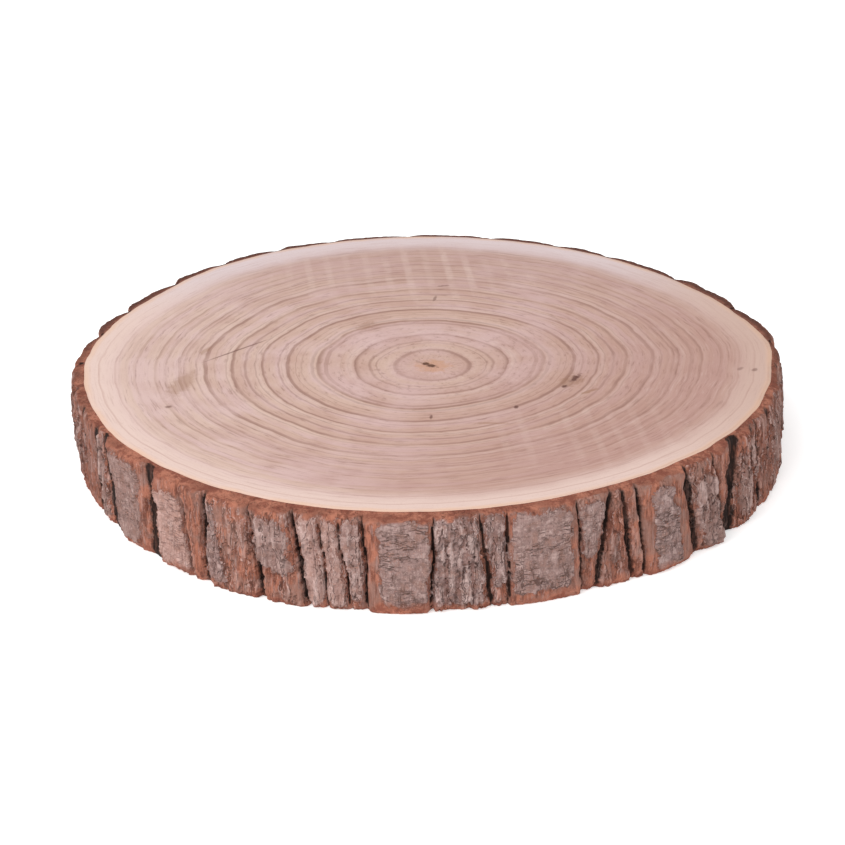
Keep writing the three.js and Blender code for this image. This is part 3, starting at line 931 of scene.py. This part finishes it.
def barkMaterial():
    material, tree, surface = newMaterial("fissured bark")
    coords = objectMillimetres(tree)
    place = addNode(tree, "ShaderNodeSeparateXYZ", [coords]).outputs
    names = ("fissureShadow", "scale", "tone", "flaky", "gap", "shade", "sawn", "across")
    fissureShadow, scale, tone, flaky, gap, shade, sawn, across = [readAttribute(tree, name) for name in names]
    fibre, grain, blotch = [barkCloud(tree, coords, name) for name in ("fibre", "grain", "blotch")]
    layers, streaks, mottle = [barkCloud(tree, coords, name) for name in ("layers", "streaks", "mottle")]
    rimGrain = barkCloud(tree, coords, "rimGrain")
    waves, detail = bark["bend"]
    bendValues = {"Vector": coords, "Scale": waves, "Detail": detail}
    bend = addNode(tree, "ShaderNodeTexNoise", bendValues).outputs["Color"]

    # upright strands: painted shade in the seams between them, each with a painted highlight on a lip on one
    # side
    upright = vectorWork(tree, "ADD", coords, scaledCoords(tree, bend, bark["strandBend"]))
    strands = barkCloud(tree, upright, "strands")
    loose = remap(tree, flaky, *bark["looseStrands"])
    seamBreaks = marking(tree, grain, bark["seamBreaks"])
    lipBreaks = marking(tree, grain, bark["lipBreaks"])
    seamShade = product(tree, crease(tree, strands, bark["seamLine"]), loose, seamBreaks)
    lipHighlight = product(tree, band(tree, strands, bark["lipBand"]), loose, lipBreaks)

    # rust, then the scales over it with ragged edges and a painted shadow along the step at each edge
    ragged = scale
    for cloudy, name in ((grain, "grain"), (fibre, "fibre"), (streaks, "streaks")):
        ragged = strayed(tree, ragged, cloudy, bark["greyStray"][name])
    greyMask = marking(tree, ragged, bark["greyEdge"])
    colour = rustColour(tree, fibre, grain, blotch, streaks)
    colour = mixColour(tree, greyMask, colour, scaleColour(tree, layers, mottle, grain, blotch, tone))
    colour = tint(tree, colour, bark["rustDeep"], marking(tree, tone, bark["deepTone"], "LINEAR"))
    # painted shadow where a scale steps down to the rust
    stepShadow = band(tree, ragged, bark["stepShadow"])
    colour = tint(tree, colour, bark["rustDeep"], stepShadow, bark["stepShadowWeight"])

    # checks, lips and seams: painted shade in the checks and seams, a painted highlight on the lips
    bent = vectorWork(tree, "ADD", coords, scaledCoords(tree, bend, bark["checkBend"]))
    checks = checkMask(tree, bent, place, blotch, flaky, greyMask)
    # painted shade in the checks
    colour = tint(tree, colour, bark["seamShade"], checks, bark["checkShadeWeight"])
    colour = tint(tree, colour, bark["greyPale"], lipHighlight)
    colour = tint(tree, colour, bark["seamShade"], seamShade, bark["seamWeight"])

    # loose flakes: a painted highlight on those that stand out, painted shade on those that sink, painted
    # shade in the gaps
    colour = tint(tree, colour, bark["greyPale"], marking(tree, shade, bark["flakeHighlights"]), flaky,
                  marking(tree, fibre, bark["flakeHighlightFibre"]))
    colour = tint(tree, colour, bark["rustDeep"], marking(tree, shade, bark["flakeShade"]), flaky)
    gapEdge = strayed(tree, gap, grain, bark["gapStray"])
    colour = tint(tree, colour, bark["seamShade"], marking(tree, gapEdge, bark["gapShade"]))

    # the sawn rim and foot, then the painted shade of the fissures over everything
    colour = mixColour(tree, sawn, colour, rimColour(tree, place, across, rimGrain, blotch, streaks))
    fissureShadowEdge = strayed(tree, fissureShadow, grain, bark["fissureShadowStray"])
    colour = tint(tree, colour, bark["fissure"], marking(tree, fissureShadowEdge, bark["fissureShadowMark"]),
                  remap(tree, streaks, *bark["fissureShadowFibre"]))

    height = calculate(tree, "MULTIPLY_ADD", grain, bark["grainHeight"], streaks)
    height = calculate(tree, "MULTIPLY_ADD", layers, bark["layerHeight"], height)
    height = calculate(tree, "MULTIPLY_ADD", checks, -bark["checkDepth"], height)
    height = calculate(tree, "MULTIPLY_ADD", seamShade, -bark["seamDepth"], height)
    tree.links.new(colour, surface.inputs["Base Color"])
    surface.inputs["Roughness"].default_value = bark["roughness"]
    surface.inputs["Specular IOR Level"].default_value = bark["specular"]
    addBump(tree, surface, height, *bark["bump"])
    return material


def makeBark():
    radius, top = cut["woodRadius"], cut["thickness"]
    unit = 10.0  # the section is drawn this deep, then moved to the bark's own depth
    foot = [(share, 0.0) for share in bark["footLoops"]]
    face = [(1.0, top * k / bark["faceRows"]) for k in range(bark["faceRows"] + 1)]
    rim = [(1.0 - k / bark["rimRows"], top) for k in range(1, bark["rimRows"] + 1)]
    section = foot + face + rim
    bm = bmesh.new()
    bmesh.ops.create_grid(bm, x_segments=bark["steps"], y_segments=len(section), size=0.5)
    for vert in bm.verts:  # rolled round the trunk, then the section is closed on itself
        turn = fullTurn * (vert.co.x + 0.5)
        share, height = section[round((vert.co.y + 0.5) * len(section)) % len(section)]
        vert.co = onCircle(radius + share * unit, turn, height)
    bmesh.ops.remove_doubles(bm, verts=bm.verts[:], dist=mergeDistance)
    bmesh.ops.recalc_face_normals(bm, faces=bm.faces[:])
    columns = {}
    for vert in bm.verts:
        across = min(1.0, max(0.0, (math.hypot(vert.co.x, vert.co.y) - radius) / unit))
        angle = math.atan2(vert.co.y, vert.co.x)
        vert.co, values = barkPoint(angle, vert.co.z, across)
        for name, number in values.items():
            columns.setdefault(name, []).append(number)
    finishPiece(bm, "bark_ring", "root", "bark", barkMaterial(), columns)


makeWood()
makeBark()

# studio: pale floor, soft light, camera at the photograph's angle
studio = {
    "floorSize": 8.0,
    "floorDrop": 0.0003,
    "floorColour": (0.93, 0.93, 0.93, 1.0),
    "floorRoughness": 0.9,
    "floorGlow": 0.42,
    "skyStrength": 0.66,
    "key": {"place": (-0.85, -1.0, 1.55), "size": 1.4, "power": 25.5},
    "fill": {"place": (1.5, -1.6, 1.2), "size": 1.6, "power": 2.5},
    "camera": {"place": (-0.0024, -0.9464, 0.4414), "pitch": 24.592, "turn": 0.071, "lens": 101.3},
    "sensorWidth": 36.0,
    "farthest": 50.0,
}
white = (1.0, 1.0, 1.0, 1.0)


def makeFloor():
    bm = bmesh.new()
    bmesh.ops.create_grid(bm, x_segments=2, y_segments=2, size=studio["floorSize"] / 2)
    bmesh.ops.translate(bm, vec=(0, 0, -studio["floorDrop"]), verts=bm.verts[:])
    mesh = bpy.data.meshes.new("floor")
    bm.to_mesh(mesh)
    bm.free()
    material, tree, surface = newMaterial("pale floor")
    surface.inputs["Base Color"].default_value = studio["floorColour"]
    surface.inputs["Roughness"].default_value = studio["floorRoughness"]
    surface.inputs["Emission Color"].default_value = white
    surface.inputs["Emission Strength"].default_value = studio["floorGlow"]
    mesh.materials.append(material)
    floor = bpy.data.objects.new("floor", mesh)
    bpy.context.collection.objects.link(floor)


def addLight(name, place, size, power):
    lamp = bpy.data.lights.new(name, "AREA")
    lamp.size = size
    lamp.energy = power
    light = bpy.data.objects.new(name, lamp)
    light.location = place
    light.rotation_euler = (-Vector(place)).to_track_quat("-Z", "Y").to_euler()
    bpy.context.collection.objects.link(light)


def addCamera(place, pitch, turn, lens):
    camera = bpy.data.cameras.new("camera")
    camera.lens = lens
    camera.sensor_width = studio["sensorWidth"]
    camera.clip_end = studio["farthest"]
    holder = bpy.data.objects.new("camera", camera)
    holder.location = place
    holder.rotation_euler = (math.radians(90.0 - pitch), 0.0, math.radians(turn))
    bpy.context.collection.objects.link(holder)
    bpy.context.scene.camera = holder


def makeStudio():
    makeFloor()
    world = bpy.data.worlds.new("soft sky")
    world.use_nodes = True
    sky = world.node_tree.nodes["Background"]
    sky.inputs["Color"].default_value = white
    sky.inputs["Strength"].default_value = studio["skyStrength"]
    bpy.context.scene.world = world
    for name in ("key", "fill"):
        addLight(name, **studio[name])
    addCamera(**studio["camera"])
    bpy.context.scene.view_settings.view_transform = "Standard"
    print("studio ready")


makeStudio()
